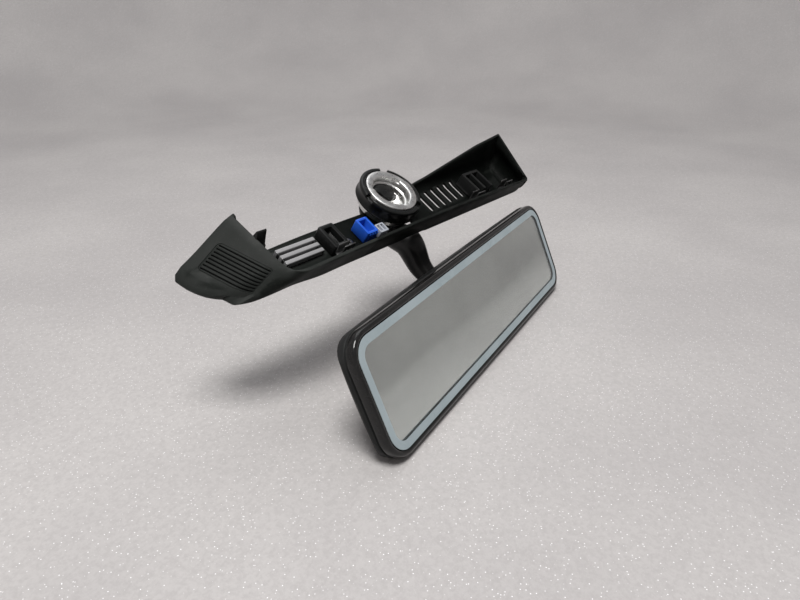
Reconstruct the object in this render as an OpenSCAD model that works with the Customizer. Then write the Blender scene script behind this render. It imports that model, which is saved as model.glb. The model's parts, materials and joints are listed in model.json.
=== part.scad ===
// Interior rearview mirror: a dimming mirror head on a ball-jointed arm, a twist-lock foot
// for a windscreen button, and a two-piece channel cover around the foot.
// +X runs along the mirror, +Z is up, the glass faces -Y, and the origin is the foot's seat.

/* [Mirror head] */
// Width of the glass
glass_w = 235; // [220:1:240]
// Height of the glass
glass_h = 58; // [52:1:60]
// Depth of the head behind the glass
head_depth = 30; // [28:0.5:34]
// Width of the bezel around the glass
bezel_w = 3.2; // [2.8:0.1:4]
// Corner radius of the glass
glass_corner = 11; // [8:0.5:14]
// Lean of the glass away from vertical
head_lean = 24; // [18:1:28]

/* [Ball joint] */
// Radius of the steel ball
ball_r = 8; // [7.5:0.1:8.2]
// Gap between moving curved faces
joint_gap = 0.3; // [0.25:0.01:0.4]

/* [Foot] */
// Radius of the socket that fits over the windscreen button
socket_r = 12; // [11:0.25:13]
// Depth of the socket
socket_depth = 5; // [4.5:0.25:6]
// Outer radius of the foot
foot_r = 17; // [16:0.5:18]
// Height of the foot
foot_h = 15; // [14:0.5:17]
// Tilt of the foot and cover about the long axis
foot_tilt = 32; // [28:1:36]

/* [Channel cover] */
// Rim-to-rim width of the cover
cover_w = 43; // [42:0.5:46]
// Depth of the cover's channel
cover_depth = 21; // [20:0.5:23]
// Wall thickness of the cover
cover_wall = 2.2; // [2:0.1:2.6]
// Near rim's left end
cover_left = -103; // [-106:1:-100]
// Near rim's right end
cover_right = 124; // [120:1:130]
// Where the two cover halves meet
seam_x = -46; // [-50:1:-44]
// How far the cover is turned from the mirror's length
cover_yaw = -8.7; // [-10:0.1:-7]

/* [Hidden] */
$fn = 64;

eps = 0.05;
seam_gap = 0.3;
well_depth = 3.2;
well_r = 10.8;
head_x = -8;
head_y = -66;
head_z = -57.4;
ball_back = 27;
ball_up = 6;
socket_lean = 45;
bezel_front = 0.4;
bezel_back = 5;
shell_wall = 2.2;
head_w = glass_w + 2 * bezel_w;
head_h = glass_h + 2 * bezel_w;
head_corner = glass_corner + bezel_w;
glass_t = 1.8;
plate_gap = 0.2;
plate_t = 2;

// The foot's own frame: origin on the seat, +Z along the way the button leaves.
module at_foot() { rotate([foot_tilt, 0, cover_yaw]) children(); }

// The head's own frame: +Y goes back from the glass, +Z goes up the glass.
module at_head() {
    translate([head_x, head_y, head_z]) rotate([-head_lean, 0, 0]) children();
}

// The ball's frame inside the head: +Z is the socket's open way.
module at_ball() {
    at_head() translate([-head_x, ball_back, ball_up]) rotate([socket_lean - 90, 0, 0]) children();
}

// The cover's frame: X along, Y from the near rim to the far rim, Z out of the open side.
near_rim_y = -28;
near_rim_z = -13.8;
module at_cover() {
    translate([head_x, near_rim_y, near_rim_z]) rotate([foot_tilt, 0, cover_yaw]) children();
}

// The foot's centre in the cover's frame.
foot_x = 3.8;
foot_v = 32;

// A plate in the head's frame with rounded corners, from y0 to y1.
module head_plate(w, h, r, y0, y1) {
    translate([0, y1, 0]) rotate([90, 0, 0]) linear_extrude(y1 - y0) rounded(w, h, r);
}

module rounded(w, h, r) {
    square([w - 2 * r, h], center = true);
    square([w, h - 2 * r], center = true);
    for (sx = [-1, 1], sy = [-1, 1])
        translate([sx * (w / 2 - r), sy * (h / 2 - r)]) circle(r);
}

// ---- foot and arm ----

module foot_base() {
    flange_w = 13;
    flange_reach = 28;
    keyway_w = 9;
    color("silver") at_foot() difference() {
        union() {
            translate([0, 0, -foot_h]) cylinder(r = foot_r, h = foot_h);
            translate([0, -flange_w / 2, -foot_h]) cube([flange_reach, flange_w, 5]);
        }
        translate([0, 0, -socket_depth]) cylinder(r = socket_r, h = socket_depth + 1);
        // well for the spring and its screws, below the socket
        translate([0, 0, -socket_depth - well_depth]) cylinder(r = well_r, h = well_depth + eps);
        // keyway beside the spring
        translate([-foot_r - 1, -keyway_w / 2, -socket_depth - 2.6])
            cube([foot_r - 2, keyway_w, 2.2]);
        for (x = [-5, 5]) translate([x, 0, -foot_h - 1]) cylinder(r = 1.6, h = foot_h);
        translate([flange_reach - 5, 0, -foot_h - 1]) cylinder(r = 2.3, h = 7);
    }
}

module foot_ring() {
    ring_t = 3.2;
    color("black") at_foot() difference() {
        translate([0, 0, -9.6]) cylinder(r = foot_r + ring_t, h = 9.2);
        translate([0, 0, -11]) cylinder(r = foot_r + eps, h = 12);
        // clearance for the clamp screw's head
        translate([23, 0, -12]) cylinder(r = 5, h = 8);
        // bayonet notches in the rim
        for (a = [60, 180, 300]) rotate(a) translate([foot_r - 1, -3, -3]) cube([5, 6, 4]);
    }
}

module leaf_spring() {
    blade_t = 0.6;
    lip_x = 8.8;
    color("gainsboro") at_foot() translate([0, 0, -socket_depth - well_depth]) difference() {
        union() {
            translate([-9.9, -3.5, eps]) cube([19.8, 7, blade_t]);
            for (x = [-lip_x - 1, lip_x]) translate([x, -3.5, eps]) cube([1, 7, 2.6]);
        }
        for (x = [-5, 5]) translate([x, 0, -1]) cylinder(r = 1.7, h = 4);
    }
}

module spring_screws() {
    shank_h = foot_h - socket_depth - well_depth - 1 + 0.75;
    color("dimgray") at_foot() for (x = [-5, 5]) translate([x, 0, -foot_h + 1]) {
        cylinder(r = 1.5, h = shank_h);
        translate([0, 0, shank_h]) difference() {
            cylinder(r = 2.8, h = 1.6);
            translate([0, 0, 0.6]) cylinder(r = 1.3, h = 2, $fn = 6);
        }
    }
}

module clamp_screw() {
    color("lightseagreen") at_foot() translate([23, 0, -foot_h]) {
        translate([0, 0, -0.5]) cylinder(r = 2.2, h = 6.5);
        translate([0, 0, 5 + eps]) difference() {
            cylinder(r = 3.9, h = 3.4);
            translate([0, 0, 1.4]) cylinder(r = 2, h = 3, $fn = 6);
        }
    }
}

neck_h = 8;
neck_bore = 9.2;
module neck_collar() {
    color("#161616") at_foot() translate([0, 0, -foot_h - neck_h - eps]) difference() {
        union() {
            cylinder(r = 12.5, h = neck_h);
            translate([0, 0, 3]) cylinder(r = 14, h = 2.4);
        }
        translate([0, 0, -1]) cylinder(r = neck_bore, h = neck_h + 2);
    }
}

// The arm's centre line as [y, z, radius], from the foot to just short of the ball.
ball_y = head_y + ball_back * cos(head_lean) + ball_up * sin(head_lean);
ball_z = head_z - ball_back * sin(head_lean) + ball_up * cos(head_lean);
neck_low = -foot_h - neck_h - 1;
arm_path = [
    [-sin(foot_tilt) * -foot_h, cos(foot_tilt) * -foot_h, 8.4],
    [-sin(foot_tilt) * neck_low, cos(foot_tilt) * neck_low, 8.6],
    [-2, -28, 8.8], [-12, -32.5, 9], [-20, -45.5, 7.2], [ball_y + 7.7, ball_z + 6.7, 4.6]
];
module stalk_arm() {
    color("#141414") difference() {
        for (i = [0:len(arm_path) - 2]) hull() {
            for (p = [arm_path[i], arm_path[i + 1]])
                translate([0, p[0], p[1]]) sphere(p[2], $fn = 32);
        }
        at_foot() translate([0, 0, -foot_h - eps]) cylinder(r = 30, h = 30);
        // the collar keeps its own room round the top of the arm
        at_foot() translate([0, 0, -foot_h - neck_h - 2 * eps]) difference() {
            cylinder(r = 20, h = neck_h + 1);
            translate([0, 0, -1]) cylinder(r = neck_bore - eps, h = neck_h + 3);
        }
        at_ball() sphere(ball_r + eps);
        at_shank() cylinder(r = shank_r + eps, h = 22);
        // the cable way down the arm
        hull() for (i = [3, 4]) translate([0, arm_path[i][0], arm_path[i][1]])
            sphere(3, $fn = 24);
    }
}

// The shank runs from the ball's middle into the arm.
shank_r = 3;
shank_rise = atan2(14.7, 19.7) - (socket_lean - head_lean);
module at_shank() { at_ball() rotate([shank_rise, 0, 0]) children(); }

module ball_stud() {
    color("lightgray") {
        at_ball() sphere(ball_r);
        at_shank() cylinder(r = shank_r, h = 19);
    }
}

// ---- channel cover ----

function ease(t) = t * t * (3 - 2 * t);
far_low = -24;
far_corner = 6;
nose_reach = 29.5;
nose_drop = 17;
end_slant = 14.5;
rim_bow = 3.5;
rim_mid = (cover_left + cover_right) / 2;
rim_half = (cover_right - cover_left) / 2;

module along_v() {
    translate([0, 120, 0]) rotate([90, 0, 0]) linear_extrude(240) children();
}

// The left end's side outline: an overhung nose with a round toe, walls moved in by t.
module left_end(t) {
    slope = nose_reach / nose_drop;
    shift = t * 1.9;
    toe_r = 5;
    toe_z = -cover_depth + t + toe_r;
    toe_x = shift + toe_z * slope + toe_r;
    translate([cover_left, 0, 0]) rotate(end_slant) along_v() polygon(concat(
        [[shift + 14 * slope, 14]],
        [for (i = [0:6]) let(a = 90 * i / 6) [toe_x - toe_r * cos(a), toe_z - toe_r * sin(a)]],
        [[330, -cover_depth + t], [330, 14]]
    ));
}

// The right end's side outline, nearly upright with a round lower edge.
module right_end(t) {
    toe_r = 8 - t;
    bottom = -cover_depth + t;
    translate([cover_right, 0, 0]) rotate(-end_slant) along_v() polygon(concat(
        [[-t - 330, 14], [-t - 1, 14], [-t, 0], [5 - t, -8]],
        [for (i = [0:6]) let(a = 90 * i / 6)
            [5 - t - toe_r + toe_r * cos(a), bottom + toe_r - toe_r * sin(a)]],
        [[-t - 330, bottom]]
    ));
}

// The rim's gentle bow along X.
module rim_top() {
    along_v() polygon(concat(
        [for (i = [0:12]) let(x = rim_mid - rim_half + 2 * rim_half * i / 12)
            [x, rim_bow * (1 - pow((x - rim_mid) / rim_half, 2))]],
        [[cover_right + 12, far_corner], [cover_right + 60, far_corner],
            [cover_right + 60, -60], [cover_left - 60, -60], [cover_left - 60, 0.6],
            [cover_left - 12, 0.6]]
    ));
}

// The cover's cross-section: leaning walls and round lower corners.
module cover_cross(t) {
    r = 9 - t;
    bottom = -cover_depth + t;
    near = 3;
    far = cover_w - 4;
    polygon(concat(
        [[t, 20], [t, 0]],
        [for (i = [0:8]) let(a = 90 * i / 8)
            [near + t + r - r * cos(a), bottom + r - r * sin(a)]],
        [for (i = [0:8]) let(a = 90 * i / 8)
            [far - t - r + r * sin(a), bottom + r - r * cos(a)]],
        [[cover_w - t, 0], [cover_w - t, 20]]
    ));
}

module cover_form(t) {
    intersection() {
        left_end(t);
        right_end(t);
        translate([-250, 0, 0]) rotate([90, 0, 90]) linear_extrude(500) cover_cross(t);
    }
}

// The frame of the left end face: X across, Y down the face, Z out of it.
face_angle = atan2(nose_reach, nose_drop);
module at_end_face() {
    translate([cover_left, 0, 0]) rotate([0, 0, end_slant]) translate([0, cover_w / 2, 0])
        rotate([0, face_angle - 90, 0]) rotate([0, 0, 90]) children();
}

grille_w = 29.6;
grille_h = 16.4;
grille_top = 9.4;
grille_shift = 2.8;
fin_pitch = 2;
fin_w = 1.1;
louvre_x = -88;
louvre_y = 16.5;
louvre_w = 28;
louvre_d = 12;

module cover_shell() {
    difference() {
        intersection() {
            cover_form(0);
            rim_top();
        }
        cover_form(cover_wall);
        // low far wall between the ends
        translate([0, cover_w + 6, 0]) rotate([90, 0, 0]) linear_extrude(16) far_cut();
        // room for the neck and its collar
        translate([foot_x, foot_v, -60]) cylinder(r = 16, h = 80);
        // room for the clamp flange, and for the arm at the near corner
        translate([foot_x, foot_v - 8.8, -60]) cube([29.4, 24.6, 70]);
        translate([foot_x - 12.5, 3.2, -60]) cube([25, 30, 46.5]);
        // slots in the floor, right of the foot
        for (i = [0:5]) translate([39.5 + 7.6 * i, 16.5 + 0.3 * i, -60]) slot(3.4, 16);
        translate([110, 18, -60]) slot(3.4, 15);
        // window for the louvres in the floor, left of the foot
        translate([louvre_x, louvre_y, -60]) cube([louvre_w, louvre_d, 50]);
        // window for the grille in the left end face
        at_end_face() translate([grille_shift - grille_w / 2, grille_top, -6])
            cube([grille_w, grille_h, 20]);
    }
}

module slot(w, l) {
    linear_extrude(60) hull() for (y = [w / 2, l - w / 2]) translate([w / 2, y]) circle(w / 2, $fn = 24);
}

// What is cut from the far wall, as an outline from X to height.
module far_cut() {
    l = cover_left - 11;
    r = cover_right + 13;
    run = 24;
    polygon(concat(
        [for (i = [0:8]) [l + run * i / 8, 1 + (far_low - 1) * ease(i / 8)]],
        [[r - 117, far_low], [r - 99, -14.4], [r + 2, far_corner + 1], [r + 2, 40], [l - 1, 40], [l - 1, 1]]
    ));
}

module cover_left_half() {
    color("#2b2e2c") at_cover() difference() {
        cover_shell();
        translate([seam_x - seam_gap / 2, -50, -100]) cube([400, 200, 200]);
    }
}

module cover_right_half() {
    color("#2b2e2c") at_cover() difference() {
        cover_shell();
        translate([-350 + seam_x + seam_gap / 2, -50, -100]) cube([350, 200, 200]);
    }
}

module grille_insert() {
    gap = 0.3;
    color("#202321") at_cover() at_end_face() {
        // fins in the window, held by a plate behind the wall
        for (i = [0:7])
            translate([grille_shift - grille_w / 2 + gap, grille_top + gap + i * fin_pitch, -3])
                cube([grille_w - 2 * gap, fin_w, 2.6]);
        translate([grille_shift - grille_w / 2 + gap, grille_top + gap, -3.9])
            cube([grille_w - 2 * gap, grille_h - 2 * gap, 1]);
    }
}

floor_z = -cover_depth + cover_wall;
module louvre_insert() {
    gap = 0.3;
    bar_w = 2.6;
    color("#3a3d3c") at_cover() translate([louvre_x, louvre_y, -cover_depth]) {
        for (y = [gap, louvre_d / 2 - bar_w / 2, louvre_d - gap - bar_w])
            translate([gap, y, 0]) cube([louvre_w - 2 * gap, bar_w, 5]);
        for (x = [gap, louvre_w - gap - 2])
            translate([x, gap, 2.5]) cube([2, louvre_d - 2 * gap, 2.5]);
    }
}

module left_clip_tower() {
    color("#121212") at_cover() translate([-105, 12.6, floor_z + 0.2]) {
        cube([7, 17, 9]);
        translate([0, 11, 8.9]) rotate([90, 0, 90]) linear_extrude(5)
            polygon([[0, 0], [6, 0], [6, 4], [4, 13], [2, 5]]);
    }
}

module right_clip_bracket() {
    color("#101010") at_cover() translate([81.5, 12.6, floor_z + 0.2]) {
        cube([19, 17, 2]);
        for (x = [0, 8, 17]) translate([x, 0, 2 - eps]) cube([2, 17, 9]);
        translate([0, 15, 2 - eps]) cube([19, 2, 9]);
    }
}

module metal_clips() {
    near_gap = cover_wall + 2.6;
    color("silver") at_cover() for (x = [-64, 64, 100]) {
        translate([x, near_gap, -9]) cube([8, 0.8, 9]);
        translate([x, near_gap, -9]) cube([8, 4, 0.8]);
        translate([x, near_gap + 3.2, -9]) cube([8, 0.8, 6]);
    }
}

module sensor_bracket() {
    color("#181818") at_cover() translate([-57.5, 13, floor_z + 0.2]) difference() {
        cube([11, 16.5, 7]);
        translate([2.5, 2.5, 3]) cube([6, 11.5, 14]);
    }
}

module blue_connector() {
    color("royalblue") at_cover() translate([-32, 13, floor_z + 0.2]) difference() {
        cube([9, 12, 8]);
        translate([2, 2, 2]) cube([5, 8, 9]);
    }
}

module grey_connector() {
    color("slategray") at_cover() translate([-19.6, 12.4, floor_z + 0.2]) {
        difference() {
            cube([7, 6.6, 5.4]);
            for (x = [1.1, 4]) translate([x, 1.2, 2.4]) cube([1.9, 4.2, 7]);
        }
        translate([-2 + eps, 1.5, 2]) cube([2, 5, 2]);
    }
}

module cover_screws() {
    color("dimgray") at_cover() for (x = [-42, 104.5]) translate([x, 16.5, floor_z + 0.2]) {
        cylinder(r = 3, h = 2);
        translate([0, 0, 2]) cylinder(r = 1.4, h = 1, $fn = 6);
    }
}

// ---- ball joint ----

liner_in = ball_r + joint_gap;
liner_out = liner_in + 1.2;
ring_in = liner_out + joint_gap;
ring_out = ring_in + 1.4;
cup_in = ring_out + joint_gap;
cup_out = cup_in + 2;

// A spherical shell open on +Z above the height open_at.
module ball_shell(r_in, r_out, low, open_at) {
    difference() {
        sphere(r_out);
        sphere(r_in);
        translate([0, 0, open_at + r_out]) cube(2 * r_out + 2, center = true);
        if (low > -r_out) translate([0, 0, low - r_out - 1]) cube(2 * r_out + 2, center = true);
    }
}

module socket_liner() { color("ivory") at_ball() ball_shell(liner_in, liner_out, -99, 2.4); }
module pressure_ring() { color("silver") at_ball() ball_shell(ring_in, ring_out, -7, 2.4); }

module socket_cup() {
    color("#e8e4d8") at_ball() difference() {
        translate([0, 0, 1.5 - cup_out]) cylinder(r = cup_out, h = cup_out + 0.9);
        sphere(cup_in);
        translate([0, 0, 0]) cylinder(r = cup_in, h = 5);
    }
}

module housing_collar() {
    color("#151515") difference() {
        at_head() translate([-head_x, head_depth, ball_up - 1]) rotate([-90, 0, 0]) {
            cylinder(r = 21, h = 2.6);
            translate([0, 0, 2.6 - eps]) cylinder(r = 18.6, h = 2.6);
        }
        at_ball() translate([0, 0, -30]) cylinder(r = cup_out + 2.2, h = 90);
    }
}

// ---- mirror head ----

// Depth of the housing's back at x, flat in the middle and rounded at the ends.
function back_at(x, t) = bezel_back + (head_depth - t - bezel_back)
    * pow(1 - pow(min(abs(x) / (head_w / 2 - t), 1), 2.6), 0.6);

module housing_form(t) {
    w = head_w - 2 * t;
    h = head_h - 2 * t;
    steps = 24;
    intersection() {
        head_plate(w, h, head_corner - t, bezel_back - t, 50);
        translate([0, 0, -50]) linear_extrude(100) polygon(concat(
            [for (i = [0:steps]) let(x = (head_w / 2 - t) * (1 - 2 * i / steps)) [x, back_at(x, t)]],
            [[-w / 2, bezel_back - t - 1], [w / 2, bezel_back - t - 1]]
        ));
        translate([-200, 0, 0]) rotate([90, 0, 90]) linear_extrude(400) polygon(concat(
            [for (i = [0:12]) let(a = 15 + 150 * i / 12)
                [bezel_back + 2 - t + (head_depth - bezel_back - 2) * sin(a),
                    (h / 2) * cos(a) / cos(15)]],
            [[bezel_back - t - 1, -h / 2], [bezel_back - t - 1, h / 2]]
        ));
    }
}

module rear_housing() {
    color("#161817") difference() {
        at_head() difference() {
            housing_form(0);
            housing_form(shell_wall);
            translate([lens_x, 0, lens_z]) rotate([-90, 0, 0]) cylinder(r = lens_r + 0.4, h = 60);
        }
        at_ball() translate([0, 0, -20]) cylinder(r = cup_out + 1.6, h = 60);
    }
}

module front_bezel() {
    gap = 0.2;
    color("#0a0a0a") at_head() difference() {
        head_plate(head_w, head_h, head_corner, -bezel_front, bezel_back - eps);
        head_plate(glass_w + 2 * gap, glass_h + 2 * gap, glass_corner + gap,
            -bezel_front - 1, bezel_back + 1);
    }
}

module front_glass() {
    color("#c9cdca") at_head() head_plate(glass_w, glass_h, glass_corner, 0, glass_t);
}

module mirror_glass() {
    y0 = glass_t + 0.1;
    color("#9aa3a6") at_head() head_plate(glass_w, glass_h, glass_corner, y0, y0 + glass_t);
}

module border_ring() {
    border = 4.6;
    color("#9fb2b8") at_head() difference() {
        head_plate(glass_w - 0.4, glass_h - 0.4, glass_corner - 0.2, -0.25, -0.03);
        head_plate(glass_w - 2 * border, glass_h - 2 * border, glass_corner - 4, -1, 2);
    }
}

plate_y = 2 * glass_t + 0.1;
module carrier_plate() {
    color("#303030") difference() {
        at_head() head_plate(glass_w - 10, glass_h - 10, glass_corner - 5,
            plate_y + 0.2, plate_y + 0.2 + plate_t);
        cup_room();
    }
}

// Room round the socket cup in the plates behind the glass.
module cup_room() { at_ball() translate([0, 0, -30]) cylinder(r = cup_out + 0.6, h = 60); }

module foam_pad() {
    color("#4a4a4a") difference() {
        at_head() head_plate(glass_w - 50, glass_h - 20, 4, plate_y + 2.4, plate_y + 3.8);
        cup_room();
    }
}

board_y = plate_y + 4.4;
module circuit_board() {
    color("seagreen") at_head() translate([68, 0, 0]) head_plate(56, 30, 2, board_y, board_y + 1.6);
}

module board_connector() {
    color("whitesmoke") at_head() translate([46, board_y + 1.7, -8]) difference() {
        cube([14, 7, 8]);
        translate([1.5, 2, 1.5]) cube([11, 6, 5]);
    }
}

lens_x = 70;
lens_z = 4;
lens_r = 3.2;
module light_sensor_lens() {
    color("#d8d8d0") at_head() translate([lens_x, board_y + 1.7, lens_z]) rotate([-90, 0, 0]) {
        cylinder(r = lens_r, h = head_depth - board_y - 3.4);
        translate([0, 0, head_depth - board_y - 3.4]) cylinder(r = lens_r - 0.6, h = 1);
    }
}

module socket_plate() {
    color("gainsboro") difference() {
        at_head() head_plate(64, 42, 5, plate_y + 4.2, plate_y + 5.8);
        cup_room();
        at_head() for (x = [-27, 27], z = [-15, 15])
            translate([x, 0, z]) rotate([-90, 0, 0]) cylinder(r = 1.7, h = 20);
    }
}

module socket_screws() {
    color("dimgray") at_head() for (x = [-27, 27], z = [-15, 15])
        translate([x, plate_y + 4.5, z]) rotate([-90, 0, 0]) {
            cylinder(r = 1.5, h = 5);
            translate([0, 0, 1.7]) difference() {
                cylinder(r = 3, h = 2);
                translate([0, 0, 0.8]) cylinder(r = 1.4, h = 2, $fn = 6);
            }
        }
}

foot_base();
foot_ring();
leaf_spring();
spring_screws();
clamp_screw();
neck_collar();
stalk_arm();
ball_stud();
cover_left_half();
cover_right_half();
grille_insert();
left_clip_tower();
right_clip_bracket();
metal_clips();
sensor_bracket();
blue_connector();
grey_connector();
cover_screws();
louvre_insert();
socket_liner();
pressure_ring();
rear_housing();
front_bezel();
front_glass();
mirror_glass();
border_ring();
carrier_plate();
foam_pad();
circuit_board();
board_connector();
light_sensor_lens();
socket_plate();
socket_screws();
socket_cup();
housing_collar();
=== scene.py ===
"""Looks for the interior rearview mirror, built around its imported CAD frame."""

import json
import math

import bmesh
import bpy
from mathutils import Matrix, Vector


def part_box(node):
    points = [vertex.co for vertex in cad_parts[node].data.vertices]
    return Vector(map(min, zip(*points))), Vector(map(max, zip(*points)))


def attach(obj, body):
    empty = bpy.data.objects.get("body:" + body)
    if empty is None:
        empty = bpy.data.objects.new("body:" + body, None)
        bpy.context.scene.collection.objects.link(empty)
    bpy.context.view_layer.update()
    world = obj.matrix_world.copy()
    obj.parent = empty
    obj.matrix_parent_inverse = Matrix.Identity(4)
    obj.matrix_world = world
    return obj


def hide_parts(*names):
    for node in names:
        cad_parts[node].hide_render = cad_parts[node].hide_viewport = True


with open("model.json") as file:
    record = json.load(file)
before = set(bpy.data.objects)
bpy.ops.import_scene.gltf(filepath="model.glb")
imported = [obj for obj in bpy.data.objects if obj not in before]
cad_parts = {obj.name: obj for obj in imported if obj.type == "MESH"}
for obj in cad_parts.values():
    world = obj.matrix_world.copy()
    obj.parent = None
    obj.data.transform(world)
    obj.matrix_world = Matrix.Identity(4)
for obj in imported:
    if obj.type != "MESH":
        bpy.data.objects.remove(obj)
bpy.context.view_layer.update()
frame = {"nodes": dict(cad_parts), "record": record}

# ---------------------------------------------------------------- camera
# Fitted to the outlines seen in the photo: metres, in the frame of the part.
CAMERA_PLACE = Vector((-0.3206, -0.1916, 0.1038))
CAMERA_AIM = Vector((0.781, 0.453, -0.430))
FOCAL_MM, SENSOR_MM = 28.35, 36
TABLE_Z = -0.0895


def add_camera():
    data = bpy.data.cameras.new("camera")
    data.lens = FOCAL_MM
    data.sensor_width = SENSOR_MM
    data.clip_start = 0.01
    camera = bpy.data.objects.new("camera", data)
    bpy.context.scene.collection.objects.link(camera)
    camera.location = CAMERA_PLACE
    camera.rotation_euler = CAMERA_AIM.to_track_quat("-Z", "Y").to_euler()
    bpy.context.scene.camera = camera


add_camera()


# ---------------------------------------------------------------- materials
DUST = (0.42, 0.41, 0.39)
# Sockets of a mix node that mixes colours.
MIX_FIRST, MIX_SECOND, MIX_RESULT = 6, 7, 2


def new_material(name):
    """A node material with its tree and its main shader."""
    material = bpy.data.materials.new(name)
    material.use_nodes = True
    tree = material.node_tree
    return material, tree, tree.nodes["Principled BSDF"]


def node(tree, kind, **values):
    """A node whose inputs or settings take the given values."""
    made = tree.nodes.new(kind)
    for key, value in values.items():
        if key in made.inputs:
            made.inputs[key].default_value = value
        else:
            setattr(made, key, value)
    return made


def coords(tree):
    return node(tree, "ShaderNodeTexCoord").outputs["Object"]


def noise_of(tree, where, scale, detail=4.0, rough=0.55):
    made = node(tree, "ShaderNodeTexNoise", Scale=scale, Detail=detail, Roughness=rough)
    tree.links.new(where, made.inputs["Vector"])
    return made.outputs["Fac"]


def ramp(tree, value, low, high, at=(0.35, 0.65)):
    """A colour that runs from low to high as the value crosses a span."""
    made = node(tree, "ShaderNodeValToRGB")
    made.color_ramp.elements[0].position = at[0]
    made.color_ramp.elements[1].position = at[1]
    made.color_ramp.elements[0].color = low
    made.color_ramp.elements[1].color = high
    tree.links.new(value, made.inputs["Fac"])
    return made.outputs["Color"]


def spread(tree, value, low, high, at=(0.3, 0.7)):
    """A number that runs from low to high as the value crosses a span."""
    made = node(tree, "ShaderNodeMapRange")
    made.inputs["From Min"].default_value = at[0]
    made.inputs["From Max"].default_value = at[1]
    made.inputs["To Min"].default_value = low
    made.inputs["To Max"].default_value = high
    tree.links.new(value, made.inputs["Value"])
    return made.outputs["Result"]


def mix(tree, factor, first, second):
    """The first colour where the factor is 0, and the second, a plain colour, where it is 1."""
    made = node(tree, "ShaderNodeMix", data_type="RGBA")
    tree.links.new(factor, made.inputs["Factor"])
    tree.links.new(first, made.inputs[MIX_FIRST])
    made.inputs[MIX_SECOND].default_value = second
    return made.outputs[MIX_RESULT]


def bump(tree, height, strength, distance, before=None):
    made = node(tree, "ShaderNodeBump", Strength=strength, Distance=distance)
    tree.links.new(height, made.inputs["Height"])
    if before is not None:
        tree.links.new(before, made.inputs["Normal"])
    return made.outputs["Normal"]


def rgb(r, g, b):
    return (r, g, b, 1.0)


def worn_edges(tree):
    """1 on sharp outer edges, 0 elsewhere."""
    pointy = node(tree, "ShaderNodeNewGeometry").outputs["Pointiness"]
    return spread(tree, pointy, 0.0, 1.0, (0.52, 0.60))


def plastic(name, base, lighter, rough=(0.45, 0.6), grain=2600.0, depth=0.00004, wear=0.25,
            dust=0.03, coat=0.0, shine=0.1):
    """Moulded plastic: fine grain, faint cloudiness, dust, and lighter rubbed edges."""
    material, tree, shader = new_material(name)
    where = coords(tree)
    cloud = noise_of(tree, where, 34.0, 5.0)
    colour = ramp(tree, cloud, rgb(*base), rgb(*lighter))
    specks = noise_of(tree, where, 900.0, 2.0, 0.7)
    dusty = spread(tree, specks, 0.0, dust, (0.60, 0.74))
    colour = mix(tree, dusty, colour, rgb(*DUST))
    if wear:
        edge = worn_edges(tree)
        worn = node(tree, "ShaderNodeMath", operation="MULTIPLY")
        tree.links.new(edge, worn.inputs[0])
        worn.inputs[1].default_value = wear
        colour = mix(tree, worn.outputs[0], colour, rgb(*(min(1, 0.05 + 2.2 * c) for c in lighter)))
    tree.links.new(colour, shader.inputs["Base Color"])
    smudge = noise_of(tree, where, 60.0, 6.0, 0.65)
    tree.links.new(spread(tree, smudge, rough[0], rough[1]), shader.inputs["Roughness"])
    fine = noise_of(tree, where, grain, 3.0, 0.6)
    normal = bump(tree, fine, 0.5, depth)
    normal = bump(tree, noise_of(tree, where, 22.0, 2.0), 0.25, 0.00025, normal)
    tree.links.new(normal, shader.inputs["Normal"])
    shader.inputs["Specular IOR Level"].default_value = shine
    shader.inputs["Coat Weight"].default_value = coat
    shader.inputs["Coat Roughness"].default_value = 0.08
    return material


def metal(name, base, darker, rough=(0.2, 0.4), pits=0.5, brushed=0.0, tint=None):
    """Metal with a cast or brushed surface, stains and fine scratches."""
    material, tree, shader = new_material(name)
    where = coords(tree)
    colour = ramp(tree, noise_of(tree, where, 160.0, 6.0, 0.6), rgb(*darker), rgb(*base), (0.3, 0.6))
    if tint is not None:
        colour = mix(tree, spread(tree, noise_of(tree, where, 420.0, 2.0), 0.0, 0.8), colour,
                     rgb(*tint))
    tree.links.new(colour, shader.inputs["Base Color"])
    shader.inputs["Metallic"].default_value = 1.0
    tree.links.new(spread(tree, noise_of(tree, where, 240.0, 5.0), rough[0], rough[1]),
                   shader.inputs["Roughness"])
    stretch = node(tree, "ShaderNodeMapping")
    stretch.inputs["Scale"].default_value = (1.0, 1.0, 24.0 if brushed else 1.0)
    tree.links.new(where, stretch.inputs["Vector"])
    fine = noise_of(tree, stretch.outputs["Vector"], 700.0, 6.0, 0.7)
    tree.links.new(bump(tree, fine, pits, 0.00012), shader.inputs["Normal"])
    return material


def clear_glass(name):
    """Polished front glass with faint wiping marks."""
    material, tree, shader = new_material(name)
    where = coords(tree)
    shader.inputs["Base Color"].default_value = rgb(0.96, 0.985, 0.975)
    shader.inputs["Transmission Weight"].default_value = 1.0
    shader.inputs["IOR"].default_value = 1.5
    smear = noise_of(tree, where, 18.0, 6.0, 0.7)
    tree.links.new(spread(tree, smear, 0.0, 0.05, (0.45, 0.8)), shader.inputs["Roughness"])
    tree.links.new(bump(tree, noise_of(tree, where, 240.0, 2.0), 0.02, 0.00001),
                   shader.inputs["Normal"])
    return material


def mirror_face(name):
    """Silvered, slightly grey mirror of a dimming cell."""
    material, tree, shader = new_material(name)
    where = coords(tree)
    haze = noise_of(tree, where, 12.0, 5.0, 0.6)
    tree.links.new(ramp(tree, haze, rgb(0.60, 0.61, 0.60), rgb(0.70, 0.71, 0.70)),
                   shader.inputs["Base Color"])
    shader.inputs["Metallic"].default_value = 1.0
    tree.links.new(spread(tree, haze, 0.03, 0.09), shader.inputs["Roughness"])
    tree.links.new(bump(tree, noise_of(tree, where, 9.0, 2.0), 0.05, 0.00003),
                   shader.inputs["Normal"])
    return material


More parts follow.
